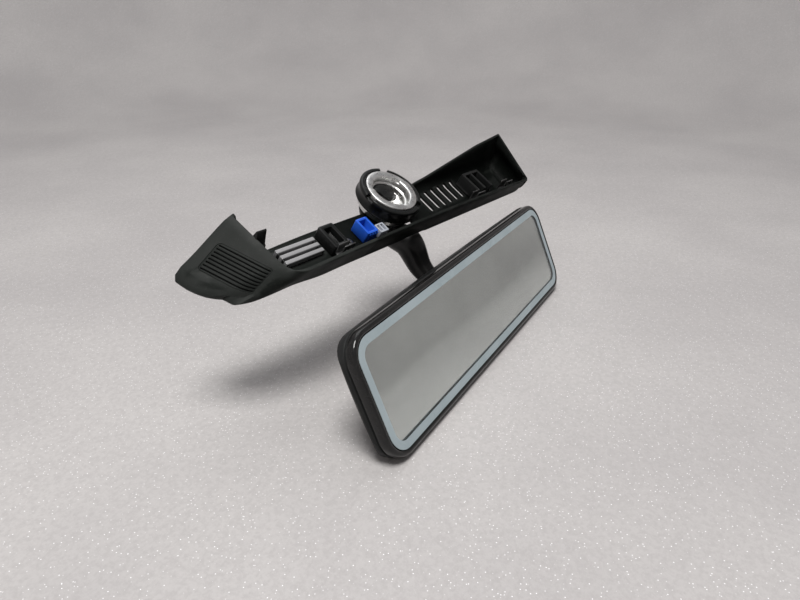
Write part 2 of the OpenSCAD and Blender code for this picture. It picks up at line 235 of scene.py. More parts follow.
def circuit(name):
    """Green solder mask with lighter tracks."""
    material, tree, shader = new_material(name)
    where = coords(tree)
    tracks = node(tree, "ShaderNodeTexVoronoi", Scale=420.0)
    tracks.feature = "DISTANCE_TO_EDGE"
    tree.links.new(where, tracks.inputs["Vector"])
    colour = ramp(tree, tracks.outputs["Distance"], rgb(0.09, 0.33, 0.15), rgb(0.02, 0.14, 0.06),
                  (0.05, 0.12))
    tree.links.new(colour, shader.inputs["Base Color"])
    tree.links.new(spread(tree, noise_of(tree, where, 90.0), 0.25, 0.4), shader.inputs["Roughness"])
    tree.links.new(bump(tree, tracks.outputs["Distance"], 0.3, 0.00005), shader.inputs["Normal"])
    return material


def foam_material(name):
    """Dark open-celled foam."""
    material, tree, shader = new_material(name)
    where = coords(tree)
    cells = node(tree, "ShaderNodeTexVoronoi", Scale=1600.0)
    tree.links.new(where, cells.inputs["Vector"])
    tree.links.new(ramp(tree, cells.outputs["Distance"], rgb(0.05, 0.05, 0.05),
                        rgb(0.14, 0.14, 0.14), (0.1, 0.7)), shader.inputs["Base Color"])
    tree.links.new(spread(tree, noise_of(tree, where, 300.0), 0.85, 1.0),
                   shader.inputs["Roughness"])
    tree.links.new(bump(tree, cells.outputs["Distance"], 0.9, 0.0004), shader.inputs["Normal"])
    return material


def sheet_material(name):
    """The pale, faintly sparkling sheet the object lies on."""
    material, tree, shader = new_material(name)
    where = coords(tree)
    cloud = noise_of(tree, where, 5.0, 5.0)
    colour = ramp(tree, cloud, rgb(0.40, 0.385, 0.385), rgb(0.47, 0.455, 0.45))
    grain = noise_of(tree, where, 420.0, 4.0, 0.7)
    colour = mix(tree, spread(tree, grain, 0.0, 0.34, (0.42, 0.62)), colour,
                 rgb(0.32, 0.305, 0.305))
    sparks = node(tree, "ShaderNodeTexVoronoi", Scale=520.0)
    tree.links.new(where, sparks.inputs["Vector"])
    glint = spread(tree, sparks.outputs["Distance"], 1.0, 0.0, (0.06, 0.16))
    colour = mix(tree, glint, colour, rgb(0.95, 0.95, 0.97))
    tree.links.new(colour, shader.inputs["Base Color"])
    tree.links.new(spread(tree, grain, 0.5, 0.75), shader.inputs["Roughness"])
    tree.links.new(bump(tree, grain, 0.5, 0.0004), shader.inputs["Normal"])
    return material


MATERIALS = {
    "cast_metal": metal("cast_metal", (0.78, 0.78, 0.77), (0.55, 0.55, 0.54), (0.22, 0.42), 0.7),
    "black_plastic": plastic("black_plastic", (0.005, 0.0055, 0.0055), (0.009, 0.0095, 0.0095),
                             (0.22, 0.40), coat=0.2),
    "spring_steel": metal("spring_steel", (0.70, 0.70, 0.69), (0.5, 0.49, 0.47), (0.2, 0.34), 0.3,
                          brushed=1.0),
    "clip_steel": metal("clip_steel", (0.22, 0.22, 0.22), (0.10, 0.10, 0.10), (0.3, 0.45), 0.4,
                        brushed=1.0),
    "dark_steel": metal("dark_steel", (0.16, 0.16, 0.16), (0.08, 0.08, 0.08), (0.35, 0.5), 0.5),
    "plated_screw": metal("plated_screw", (0.55, 0.74, 0.72), (0.26, 0.46, 0.47), (0.14, 0.3), 0.8,
                          tint=(0.72, 0.80, 0.66)),
    "black_paint": plastic("black_paint", (0.006, 0.006, 0.006), (0.011, 0.011, 0.0105),
                           (0.30, 0.42), grain=1500.0, depth=0.00002, wear=0.12, coat=0.25),
    "polished_steel": metal("polished_steel", (0.82, 0.82, 0.81), (0.66, 0.66, 0.65), (0.06, 0.16),
                            0.1),
    "charcoal_plastic": plastic("charcoal_plastic", (0.006, 0.0075, 0.0066),
                                (0.0095, 0.0115, 0.0102), (0.46, 0.60), grain=2400.0,
                                depth=0.00006, wear=0.2),
    "blue_plastic": plastic("blue_plastic", (0.010, 0.060, 0.42), (0.02, 0.11, 0.60),
                            (0.16, 0.30), grain=900.0, depth=0.00002, wear=0.1, coat=0.4),
    "grey_plastic": plastic("grey_plastic", (0.30, 0.32, 0.37), (0.40, 0.42, 0.47), (0.3, 0.45),
                            grain=900.0, depth=0.00002, wear=0.1),
    "nylon": plastic("nylon", (0.70, 0.68, 0.60), (0.78, 0.76, 0.69), (0.35, 0.5), wear=0.0),
    "housing_black": plastic("housing_black", (0.006, 0.0065, 0.0065), (0.011, 0.0115, 0.0115),
                             (0.34, 0.50), grain=3000.0, depth=0.00004, wear=0.15),
    "gloss_black": plastic("gloss_black", (0.006, 0.006, 0.006), (0.011, 0.011, 0.011),
                           (0.10, 0.24), grain=500.0, depth=0.000008, wear=0.05, coat=0.5),
    "clear_glass": clear_glass("clear_glass"),
    "mirror_face": mirror_face("mirror_face"),
    "louvre_satin": plastic("louvre_satin", (0.16, 0.16, 0.165), (0.24, 0.24, 0.245), (0.22, 0.34),
                            grain=1200.0, depth=0.00002, wear=0.2, coat=0.3),
    "border_grey": plastic("border_grey", (0.30, 0.36, 0.385), (0.35, 0.41, 0.435), (0.2, 0.35),
                           grain=900.0, depth=0.000006, wear=0.0, dust=0.02),
    "foam": foam_material("foam"),
    "board_green": circuit("board_green"),
}
# Finishes that exist in Blender only, with the slot of the record that each one fills.
SLOT_OF = {}
for part in frame["record"]["subparts"]:
    for member in part["nodes"] if "nodes" in part else [part["node"]]:
        SLOT_OF[member] = part["material_slot"]
for name, cad in frame["nodes"].items():
    cad.data.materials.clear()
    cad.data.materials.append(MATERIALS[SLOT_OF[name]])


# ---------------------------------------------------------------- floor and light
def add_floor():
    """A flat sheet that curves up all round the object, like a light tent without a roof."""
    flat, bend, top = 0.85, 0.5, 0.75
    profile = [(0.0, 0.0), (0.3, 0.0), (0.6, 0.0), (flat, 0.0)]
    bend_steps = 12
    for i in range(1, bend_steps + 1):
        angle = math.radians(90 * i / bend_steps)
        profile.append((flat + bend * math.sin(angle), bend - bend * math.cos(angle)))
    profile.append((flat + bend, bend + top))
    mesh = bpy.data.meshes.new("floor")
    points, faces, steps, count = [], [], 72, len(profile)
    for i in range(steps):
        a = 2 * math.pi * i / steps
        for reach, height in profile:
            points.append((reach * math.cos(a), reach * math.sin(a), TABLE_Z + height))
    for i in range(steps):
        j = (i + 1) % steps
        for k in range(count - 1):
            faces.append((i * count + k, j * count + k, j * count + k + 1, i * count + k + 1))
    mesh.from_pydata(points, [], faces)
    mesh.update()
    for face in mesh.polygons:
        face.use_smooth = True
    floor = bpy.data.objects.new("floor", mesh)
    bpy.context.scene.collection.objects.link(floor)
    floor.data.materials.append(sheet_material("floor_sheet"))


def add_area(name, place, size, power, colour=(1, 1, 1)):
    """An area light aimed at the origin."""
    data = bpy.data.lights.new(name, "AREA")
    data.size = size
    data.energy = power
    data.color = colour
    lamp = bpy.data.objects.new(name, data)
    bpy.context.scene.collection.objects.link(lamp)
    lamp.location = place
    lamp.rotation_euler = (-Vector(place)).to_track_quat("-Z", "Y").to_euler()


add_floor()
add_area("key", (-0.4, -0.2, 1.2), 0.5, 19, (1.0, 0.985, 0.965))
add_area("fill", (0.5, 0.4, 1.2), 1.0, 4.5)
world = bpy.data.worlds.new("world")
world.use_nodes = True
world.node_tree.nodes["Background"].inputs["Color"].default_value = (0.93, 0.93, 0.97, 1)
world.node_tree.nodes["Background"].inputs["Strength"].default_value = 0.28
bpy.context.scene.world = world
bpy.context.scene.view_settings.view_transform = "Standard"

# ---------------------------------------------------------------- pieces
MM = 0.001


def turned(about_x, about_z, place):
    """A part's own frame in the row frame: millimetres, leant about X, then turned about Z."""
    move = Matrix.Translation(Vector(place) * MM)
    turn = Matrix.Rotation(math.radians(about_z), 4, "Z") @ Matrix.Rotation(
        math.radians(about_x), 4, "X")
    return move @ turn @ Matrix.Scale(MM, 4)


HEAD_TILT, MOUNT_TILT, MOUNT_TURN = -24, 32, -8.7
HEAD = turned(HEAD_TILT, 0, (-8, -66, -57.4))
COVER = turned(MOUNT_TILT, MOUNT_TURN, (-8, -28, -13.8))
FOOT = turned(MOUNT_TILT, MOUNT_TURN, (0, 0, 0))
CONTEXT = bpy.context


def build(name, points, faces, place):
    """An object from points in a piece's own frame."""
    mesh = bpy.data.meshes.new(name)
    mesh.from_pydata([place @ Vector(p) for p in points], [], faces)
    work = bmesh.new()
    work.from_mesh(mesh)
    bmesh.ops.remove_doubles(work, verts=work.verts, dist=2e-6)
    bmesh.ops.recalc_face_normals(work, faces=work.faces)
    work.to_mesh(mesh)
    work.free()
    obj = bpy.data.objects.new(name, mesh)
    CONTEXT.scene.collection.objects.link(obj)
    return obj


def settle(obj):
    """Turns what the modifiers make into the object's own mesh."""
    CONTEXT.view_layer.update()
    graph = CONTEXT.evaluated_depsgraph_get()
    made = bpy.data.meshes.new_from_object(obj.evaluated_get(graph))
    obj.modifiers.clear()
    obj.data = made
    return obj


def merge(obj, distance):
    """Joins points that lie closer together than a distance in millimetres."""
    work = bmesh.new()
    work.from_mesh(obj.data)
    bmesh.ops.remove_doubles(work, verts=work.verts, dist=distance * MM)
    work.to_mesh(obj.data)
    work.free()


def carve(obj, *cutters):
    """Cuts the cutters away. A result that lost most of its points is taken as failed."""
    for cutter in cutters:
        whole = obj.data.copy()
        for solver in ("EXACT", "MANIFOLD"):
            cut = obj.modifiers.new("cut", "BOOLEAN")
            cut.operation = "DIFFERENCE"
            cut.solver = solver
            cut.object = cutter
            settle(obj)
            if len(obj.data.vertices) > len(whole.vertices) / 2:
                break
            obj.data = whole.copy()
        bpy.data.objects.remove(cutter)
    return obj


def rounded(obj, width, segments=2, angle=40):
    """Rounds the edges that are sharper than an angle."""
    edge = obj.modifiers.new("edge", "BEVEL")
    edge.width = width * MM
    edge.segments = segments
    edge.limit_method = "ANGLE"
    edge.angle_limit = math.radians(angle)
    edge.use_clamp_overlap = True
    return settle(obj)


def shaded(obj, angle):
    """Smooth shading, with a crease at edges that are sharper than an angle."""
    for face in obj.data.polygons:
        face.use_smooth = True
    work = bmesh.new()
    work.from_mesh(obj.data)
    for line in work.edges:
        if len(line.link_faces) == 2:
            line.smooth = line.calc_face_angle(0.0) < math.radians(angle)
    work.to_mesh(obj.data)
    work.free()
    return obj


def dress(obj, slot, body, *nodes):
    """Material, slot, body and the CAD nodes that the object replaces."""
    obj.data.materials.clear()
    obj.data.materials.append(MATERIALS[slot])
    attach(obj, body)
    if nodes:
        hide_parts(*nodes)
    return obj


def loft(rings, closed=True, cap=(False, False)):
    """Faces between rings of points with the same count."""
    points = [p for ring in rings for p in ring]
    n = len(rings[0])
    faces = []
    for r in range(len(rings) - 1):
        for i in range(n if closed else n - 1):
            j = (i + 1) % n
            faces.append((r * n + i, r * n + j, (r + 1) * n + j, (r + 1) * n + i))
    if cap[0]:
        faces.append(tuple(range(n)))
    if cap[1]:
        faces.append(tuple((len(rings) - 1) * n + i for i in range(n)))
    return points, faces


def prism(name, outline, low, high, place):
    """A closed prism of a plan outline from one height to another."""
    rings = [[(x, y, z) for x, y in outline] for z in (low, high)]
    return build(name, *loft(rings, True, (True, True)), place)


def box_outline(x0, y0, x1, y1, r=0.0, n=5):
    """A rectangle, with n steps round each corner where it has a radius."""
    if r <= 0:
        return [(x0, y0), (x1, y0), (x1, y1), (x0, y1)]
    out = []
    for cx, cy, start in ((x1 - r, y0 + r, -90), (x1 - r, y1 - r, 0), (x0 + r, y1 - r, 90),
                          (x0 + r, y0 + r, 180)):
        for i in range(n + 1):
            a = math.radians(start + 90 * i / n)
            out.append((cx + r * math.cos(a), cy + r * math.sin(a)))
    return out


def lathe(name, profile, place, steps=72, closed=True):
    """A solid turned about Z from a profile of (radius, height), open if it ends on the axis."""
    rings = []
    for i in range(steps):
        a = 2 * math.pi * i / steps
        rings.append([(r * math.cos(a), r * math.sin(a), z) for r, z in profile])
    rings.append(rings[0])
    return build(name, *loft(rings, closed), place)


# ---- mirror head
GLASS_W, GLASS_H, CORNER, BEZEL = 235.0, 58.0, 11.0, 3.2
HALF_W, HALF_H = GLASS_W / 2 + BEZEL, GLASS_H / 2 + BEZEL


def head_outline(grow, steps=9, straight=14):
    """Rounded outline of the glass grown outwards, as (x, z), the same count for every size."""
    w, h, r = GLASS_W / 2 + grow, GLASS_H / 2 + grow, max(CORNER + grow, 0.5)
    out = []
    corners = ((w - r, -h + r, -90), (w - r, h - r, 0), (-w + r, h - r, 90), (-w + r, -h + r, 180))
    for k, (cx, cz, start) in enumerate(corners):
        arc = [(cx + r * math.cos(math.radians(start + 90 * i / steps)),
                cz + r * math.sin(math.radians(start + 90 * i / steps))) for i in range(steps + 1)]
        out += arc
        nx, nz, s = corners[(k + 1) % 4]
        a = math.radians(s)
        end = (nx + r * math.cos(a), nz + r * math.sin(a))
        count = straight * 3 if k in (1, 3) else straight
        for i in range(1, count):
            f = i / count
            out.append((arc[-1][0] + (end[0] - arc[-1][0]) * f,
                        arc[-1][1] + (end[1] - arc[-1][1]) * f))
    return out


def ring_at(grow, y):
    """The head's outline, grown outwards, at a depth behind the glass."""
    return [(x, y, z) for x, z in head_outline(grow)]


BACK_DEPTH = 22.6
SHELL_Y = 7.2


def back_depth(x, z):
    """How far the back stands behind the bezel."""
    along = max(0.0, 1 - abs(x / HALF_W) ** 2.6) ** 0.6
    across = max(0.0, 1 - abs(z / HALF_H) ** 2.5) ** 0.5
    return BACK_DEPTH * along * across


def add_bezel():
    """Gloss bezel: a soft outer shoulder, a narrow front land and a fine lip at the glass."""
    section = [(0.15, 4.6), (0.15, 0.35), (0.28, 0.05), (0.5, -0.12), (0.9, -0.32), (1.5, -0.36),
               (2.0, -0.22), (2.5, 0.1), (2.88, 0.6), (3.1, 1.3), (3.2, 2.2), (3.2, 3.9),
               (3.12, 4.35), (2.7, 4.6)]
    rings = [ring_at(g, y) for g, y in section]
    rings.append(rings[0])
    obj = build("bezel_ring", *loft(rings), HEAD)
    dress(shaded(obj, 50), "gloss_black", "head", "front_bezel")


def add_housing():
    """Back shell: a shallow groove behind the bezel, then the long tapering back."""
    edge = head_outline(BEZEL)
    rings = [ring_at(1.0, 5.2), ring_at(2.1, 5.2), ring_at(2.35, 5.05), ring_at(2.35, 5.5),
             ring_at(3.0, 5.65), ring_at(BEZEL, 5.95), ring_at(BEZEL, SHELL_Y)]
    for s in (0.995, 0.985, 0.97, 0.95, 0.925, 0.89, 0.85, 0.8, 0.74, 0.67, 0.59, 0.5, 0.4, 0.3,
              0.2, 0.1):
        ring = []
        for x, z in edge:
            px, pz = x * s, z * s
            ring.append((px, SHELL_Y + back_depth(px, pz), pz))
        rings.append(ring)
    shell = build("housing_shell", *loft(rings, True, (False, True)), HEAD)
    thick = shell.modifiers.new("wall", "SOLIDIFY")
    thick.thickness = 1.8 * MM
    thick.offset = -1
    thick.use_even_offset = False
    return settle(shell)


add_bezel()


def pane(name, grow, y0, y1, e):
    """A flat pane whose edges are softened by e."""
    rings = [ring_at(grow - e, y0), ring_at(grow - 0.3 * e, y0 + 0.3 * e), ring_at(grow, y0 + e),
             ring_at(grow, y1 - e), ring_at(grow - 0.3 * e, y1 - 0.3 * e), ring_at(grow - e, y1)]
    return build(name, *loft(rings, True, (True, True)), HEAD)


dress(shaded(pane("glass_pane", -0.02, 0.02, 1.78, 0.35), 12), "clear_glass", "head",
      "front_glass")


def add_border():
    """The blue-grey border printed round the glass, with a rounded inner outline."""
    rings = [ring_at(-0.25, -0.2), ring_at(-0.22, -0.04), ring_at(-4.35, -0.04),
             ring_at(-4.4, -0.2)]
    rings.append(rings[0])
    obj = build("glass_border", *loft(rings), HEAD)
    dress(shaded(obj, 50), "border_grey", "head", "border_ring")


add_border()
dress(shaded(pane("mirror_pane", -0.1, 1.92, 3.6, 0.2), 12), "mirror_face", "head",
      "mirror_glass")

# The ball joint: its axis leans back by 45 degrees from the head's own upright.
JOINT_ROOM = 15.6
BALL = HEAD @ Matrix.Translation((8, 27, 6)) @ Matrix.Rotation(math.radians(-45), 4, "X")


def disc(radius, steps=64):
    """A round outline."""
    return [(radius * math.cos(2 * math.pi * i / steps), radius * math.sin(2 * math.pi * i / steps))
            for i in range(steps)]


def finish_housing():
    """Opens the shell for the ball joint and the light sensor."""
    shell = add_housing()
    carve(shell, prism("room", disc(JOINT_ROOM), -20, 40, BALL))
    low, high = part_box("light_sensor_lens")
    place = Matrix.Translation(((low[0] + high[0]) / 2, high[1], (low[2] + high[2]) / 2)) @ \
        Matrix.Rotation(math.radians(HEAD_TILT - 90), 4, "X") @ Matrix.Scale(MM, 4)
    carve(shell, prism("hole", disc(3.6, 32), -30, 30, place))
    rounded(shell, 0.35)
    dress(shaded(shell, 40), "housing_black", "head", "rear_housing")


finish_housing()


def add_collar():
    """The stepped shroud round the ball joint, cut open where the arm leaves."""
    place = HEAD @ Matrix.Translation((8, 25.6, 5)) @ Matrix.Rotation(math.radians(-90), 4, "X")
    profile = [(14.4, 0.0), (20.9, 0.0), (21.0, 0.3), (20.95, 4.6), (20.75, 5.4), (20.2, 5.9),
               (19.4, 6.1), (18.85, 6.35), (18.6, 6.9), (18.55, 8.2), (18.2, 9.0), (17.4, 9.45),
               (15.2, 9.5), (14.4, 9.0)]
    obj = lathe("joint_shroud", profile, place)
    carve(obj, prism("room", disc(JOINT_ROOM), -8, 60, BALL))
    rounded(obj, 0.3, 2, 42)
    dress(shaded(obj, 32), "housing_black", "head", "housing_collar")


add_collar()

# ---- channel cover
# x runs along the cover, v across it from the near wall, z up from the rim. The ends slant
# in plan, the left end face also runs in under the rim as a nose.
LEFT, RIGHT, WIDTH = -103.0, 124.0, 43.0
SLANT_ANGLE = math.radians(14.5)
SLANT = math.tan(SLANT_ANGLE)
LENGTHEN = 1 / math.cos(SLANT_ANGLE)
NOSE = 1.275
TOE_Z, TOE_R = -24.8, 3
FAR_LOW = -20.4
FLOOR_Z = -21.0
# Walls turn into the floor through arcs that begin at ARC_Z.
ARC_Z, ARC_R = -12, 9
NEAR_LEAN, FLOOR_NEAR, FLOOR_FAR, FAR_LEAN = 3, 12, 30, 4


def smooth(t):
    """0 to 1 with level ends."""
    t = min(1.0, max(0.0, t))
    return t * t * (3 - 2 * t)


def near_top(x):
    """The near rim's height, crowned in the middle."""
    return 3.5 * (1 - min(1.0, abs((x - 13.5) / 110.5)) ** 2)


def far_top(x):
    """The far rim's height: up at the left corner, low to the foot, then rising to the right."""
    if x < -84:
        return min(3.2, 3.6 + (FAR_LOW - 3.6) * smooth((x + 109) / 9))
    if x < 38:
        return FAR_LOW + 6 * smooth((x - 20) / 18)
    return FAR_LOW + 6 + (x - 38) * 20.4 / 99


def left_x(v, z):
    """Where the left end face stands: it slopes down to a rounded toe."""
    start = TOE_Z + TOE_R
    if z >= start:
        reach = z * NOSE
    else:
        turn = math.asin(min(1.0, (start - z) / TOE_R))
        reach = start * NOSE + TOE_R - TOE_R * math.cos(turn)
    return LEFT + reach * LENGTHEN - v * SLANT


def right_x(v, z):
    """Where the right end face stands: flared at the rim, rounded at the floor."""
    if z >= 0:
        reach = -z / 14
    elif z >= -8:
        reach = -z * 5 / 8
    elif z >= -13:
        reach = 5.0
    else:
        turn = math.asin(min(1.0, (-13 - z) / 8))
        reach = -3 + 8 * math.cos(turn)
    return RIGHT + reach * LENGTHEN + v * SLANT


NEAR_STEPS, ARC_STEPS, FLOOR_STEPS, FAR_STEPS = 5, 9, 9, 11
# Above 1, the floor's rows of points crowd towards the near side.
CROWD = 1.4


def far_curve(top):
    """The far corner arc and wall, cut off at a height, as evenly spaced (v, z)."""
    turns = [math.radians(90 * i / 24) for i in range(25)]
    path = [(FLOOR_FAR + ARC_R * math.sin(a), ARC_Z - ARC_R * math.cos(a)) for a in turns]
    path += [(FLOOR_FAR + ARC_R + FAR_LEAN * min(1.0, i / 12), ARC_Z + i) for i in range(1, 19)]
    kept = [path[0]]
    for a, b in zip(path, path[1:]):
        if b[1] >= top:
            f = (top - a[1]) / (b[1] - a[1])
            kept.append((a[0] + (b[0] - a[0]) * f, top))
            break
        kept.append(b)
    lengths = [0.0]
    for a, b in zip(kept, kept[1:]):
        lengths.append(lengths[-1] + math.dist(a, b))
    out = []
    for k in range(1, FAR_STEPS + 1):
        want = lengths[-1] * k / FAR_STEPS
        i = max(1, next((n for n, length in enumerate(lengths) if length >= want - 1e-9)))
        f = (want - lengths[i - 1]) / (lengths[i] - lengths[i - 1])
        out.append((kept[i - 1][0] + (kept[i][0] - kept[i - 1][0]) * f,
                    kept[i - 1][1] + (kept[i][1] - kept[i - 1][1]) * f))
    return out


def section_point(j, x):
    """Point j of the cover's section, as (v, z). The floor drops towards the left end."""
    v, z = plain_section_point(j, x)
    drop = 1 + (TOE_Z / FLOOR_Z - 1) * smooth((-52 - x) / 70)
    return v, (z * drop if z < 0 else z)


def plain_section_point(j, x):
    """Near wall, arc, floor, arc and far wall of the section, with a level floor."""
    if j < NEAR_STEPS:
        top = near_top(x)
        z = top + (ARC_Z - top) * j / NEAR_STEPS
        return NEAR_LEAN * max(0.0, z / ARC_Z), z
    if j <= NEAR_STEPS + ARC_STEPS:
        a = math.radians(90 * (j - NEAR_STEPS) / ARC_STEPS)
        return FLOOR_NEAR - ARC_R * math.cos(a), ARC_Z - ARC_R * math.sin(a)
    j -= NEAR_STEPS + ARC_STEPS
    if j <= FLOOR_STEPS:
        return FLOOR_NEAR + (FLOOR_FAR - FLOOR_NEAR) * (j / FLOOR_STEPS) ** CROWD, FLOOR_Z
    return far_curve(far_top(x))[j - FLOOR_STEPS - 1]


SECTION = NEAR_STEPS + ARC_STEPS + FLOOR_STEPS + FAR_STEPS + 1
FIRST, LAST = -80.0, 110.0


def end_point(j, edge, start):
    """Where line j of the section meets an end face."""
    x = start
    for _ in range(12):
        v, z = section_point(j, x)
        x = edge(v, z)
    return x, v, z


def cover_rows():
    """Rows of points from the left end to the right end."""
    rows = []
    blend = (0.0, 0.06, 0.12, 0.18, 0.25, 0.32, 0.4, 0.5, 0.6, 0.7, 0.8, 0.9)
    for t in blend:
        row = []
        for j in range(SECTION):
            x0 = end_point(j, left_x, LEFT)[0]
            x = x0 + (FIRST - x0) * t
            row.append((x, *section_point(j, x)))
        rows.append(row)
    steps = 48
    for i in range(steps + 1):
        x = FIRST + (LAST - FIRST) * i / steps
        rows.append([(x, *section_point(j, x)) for j in range(SECTION)])
    for t in (0.2, 0.4, 0.6, 1.0):
        row = []
        for j in range(SECTION):
            x1 = end_point(j, right_x, RIGHT)[0]
            x = LAST + (x1 - LAST) * t
            row.append((x, *section_point(j, x)))
        rows.append(row)
    return rows


def cap_rows(row, edge):
    """The end face that closes a row, as rows from rim to floor."""
    last = len(row) - 1
    out = []
    for k in range(NEAR_STEPS + ARC_STEPS + 1):
        a, b = row[k], row[last - k]
        line = []
        for m in range(FLOOR_STEPS + 1):
            f = (m / FLOOR_STEPS) ** CROWD
            v, z = a[1] + (b[1] - a[1]) * f, a[2] + (b[2] - a[2]) * f
            line.append((edge(v, z) if 0 < m < FLOOR_STEPS else (a, b)[m > 0][0], v, z))
        out.append(line)
    return out


CORNER_R, TOE_LIFT = 15.0, 5.0


def soft_nose(x, v, z, lift_by=TOE_LIFT):
    """Rounds the near left corner in plan, and lifts the toe towards the near side."""
    near = near_wall(z)
    face = left_x(0, z)
    stretch = math.hypot(1, SLANT)
    cv = near + CORNER_R
    cx = face - cv * SLANT + CORNER_R * stretch
    qx, qv = x - cx, v - cv
    b = -qx * stretch
    a = -qv - b * SLANT / stretch
    if a > 0 and b > 0:
        size = math.hypot(qx, qv)
        hit = max(-qv, (-qx - qv * SLANT) / stretch) / size
        x, v = cx + qx * hit, cv + qv * hit
    lift = lift_by * smooth((33 - v) / 33) * smooth((-5 - z) / 17) * smooth((-70 - x) / 30)
    hold = smooth((face + 34 - x) / 26)
    return x + lift * NOSE * LENGTHEN * hold, v, z + lift


def near_wall(z):
    """How far in the near wall stands at a height."""
    if z > ARC_Z:
        return NEAR_LEAN * max(0.0, z / ARC_Z)
    return FLOOR_NEAR - ARC_R * math.cos(math.asin(min(1.0, (ARC_Z - z) / ARC_R)))


def round_corners(sheet):
    """A wide radius on the near upright corners and a tight one on the far corners."""
    work = bmesh.new()
    work.from_mesh(sheet.data)
    back = COVER.inverted()
    for point in work.verts:
        place = back @ point.co
        if place.x < -60:
            point.co = COVER @ Vector(soft_nose(*place))
    work.normal_update()
    for near, offset, segments in ((False, 0.9, 2), (True, 4.6, 6)):
        chosen = []
        for line in work.edges:
            middle = back @ ((line.verts[0].co + line.verts[1].co) / 2)
            at_corner = (middle.y < 13) == near and (middle.y > 36 or middle.x > 60)
            if at_corner and len(line.link_faces) == 2 and \
                    line.calc_face_angle(0.0) > math.radians(42):
                chosen.append(line)
        bmesh.ops.bevel(work, geom=chosen, offset=offset * MM, segments=segments, profile=0.5,
                        affect="EDGES", clamp_overlap=False)
    work.to_mesh(sheet.data)
    work.free()


def cover_sheet():
    """The cover as one sheet with closed ends, given its wall thickness."""
    rows = cover_rows()
    points, faces = loft(rows, False)
    for row, edge in ((rows[0], left_x), (rows[-1], right_x)):
        more, extra = loft(cap_rows(row, edge), False)
        faces += [tuple(len(points) + i for i in face) for face in extra]
        points = points + more
    sheet = build("cover_sheet", points, faces, COVER)
    down = COVER.to_3x3() @ Vector((0, 0, -1))
    middle = min(sheet.data.polygons,
                 key=lambda f: (f.center - COVER @ Vector((0, 20, -21))).length)
    if middle.normal.dot(down) < 0:
        sheet.data.flip_normals()
    round_corners(sheet)
    merge(sheet, 0.08)
    wall = sheet.modifiers.new("wall", "SOLIDIFY")
    wall.thickness = 1.6 * MM
    wall.offset = -1
    wall.use_even_offset = False
    wall.use_quality_normals = True
    return settle(sheet)


# The left end face's own frame: x across it, y up it, z out of it.
END_FACE = (COVER @ Matrix.Translation((LEFT, 0, 0))
            @ Matrix.Rotation(SLANT_ANGLE, 4, "Z")
            @ Matrix.Translation((0, WIDTH / 2, 0))
            @ Matrix.Rotation(math.atan(NOSE) - math.pi / 2, 4, "Y")
            @ Matrix.Rotation(math.pi / 2, 4, "Z"))
GRILLE = (-11.8, 8.6, 17.4, 25.2)
LEAN = math.tan(math.radians(10))
GRILLE_FACE = END_FACE @ Matrix(((1, 0, 0, 0), (LEAN, 1, 0, -GRILLE[2] * LEAN), (0, 0, 1, 0),
                                 (0, 0, 0, 1)))


def bend_to_nose(obj):
    """Curves a piece that was built flat on the end face round the near corner."""
    work = bmesh.new()
    work.from_mesh(obj.data)
    across = (GRILLE_FACE.to_3x3() @ Vector((1, 0, 0))).normalized()
    for i in range(9):
        place = GRILLE_FACE @ Vector((-10.6 + 1.8 * i, 0, 0))
        bmesh.ops.bisect_plane(work, geom=work.verts[:] + work.edges[:] + work.faces[:],
                               plane_co=place, plane_no=across)
    back = COVER.inverted()
    for point in work.verts:
        point.co = COVER @ Vector(soft_nose(*(back @ point.co), 0.0))
    work.to_mesh(obj.data)
    work.free()
    return obj


LOUVRES = (-88.0, 16.5, -60.0, 28.5)
SEAM, SEAM_GAP = -46.0, 0.15


def add_cover():
    """Cuts the openings, then splits the cover at its seam into the short and the long half."""
    sheet = cover_sheet()
    cutters = [prism("room", [(x + 3.8, y + 32) for x, y in disc(15.5)], -60, 20, COVER),
               prism("room", box_outline(3.8, 23.5, 32.8, 47.5), -60, 10, COVER),
               prism("room", box_outline(-8.7, 3.2, 16.3, 33.2, 2.0), -60, -13.5, COVER)]
    for i in range(6):
        x, y = 39.5 + 7.6 * i, 16.5 + 0.3 * i
        cutters.append(prism("slot", box_outline(x, y, x + 3.4, y + 16, 1.69, 8), -60, -10, COVER))
    cutters.append(prism("slot", box_outline(110, 18, 113.4, 33, 1.69, 8), -60, -10, COVER))
    x0, y0, x1, y1 = LOUVRES
    cutters.append(prism("window", box_outline(x0, y0, x1, y1, 1.2), -60, -10, COVER))
    x0, y0, x1, y1 = GRILLE
    window = prism("window", box_outline(x0, y0, x1, y1, 2.2), -2.2, 5, GRILLE_FACE)
    cutters.append(bend_to_nose(window))
    carve(sheet, *cutters)
    right = sheet.copy()
    right.data = sheet.data.copy()
    right.name = "cover_long_half"
    CONTEXT.scene.collection.objects.link(right)
    sheet.name = "cover_short_half"
    carve(sheet, prism("seam", box_outline(SEAM - SEAM_GAP, -50, 300, 100), -90, 90, COVER))
    carve(right, prism("seam", box_outline(-300, -50, SEAM + SEAM_GAP, 100), -90, 90, COVER))
    for obj, node_name in ((sheet, "cover_left_half"), (right, "cover_right_half")):
        rounded(obj, 0.5, 3, 38)
        dress(shaded(obj, 36), "charcoal_plastic", "mount", node_name)


add_cover()


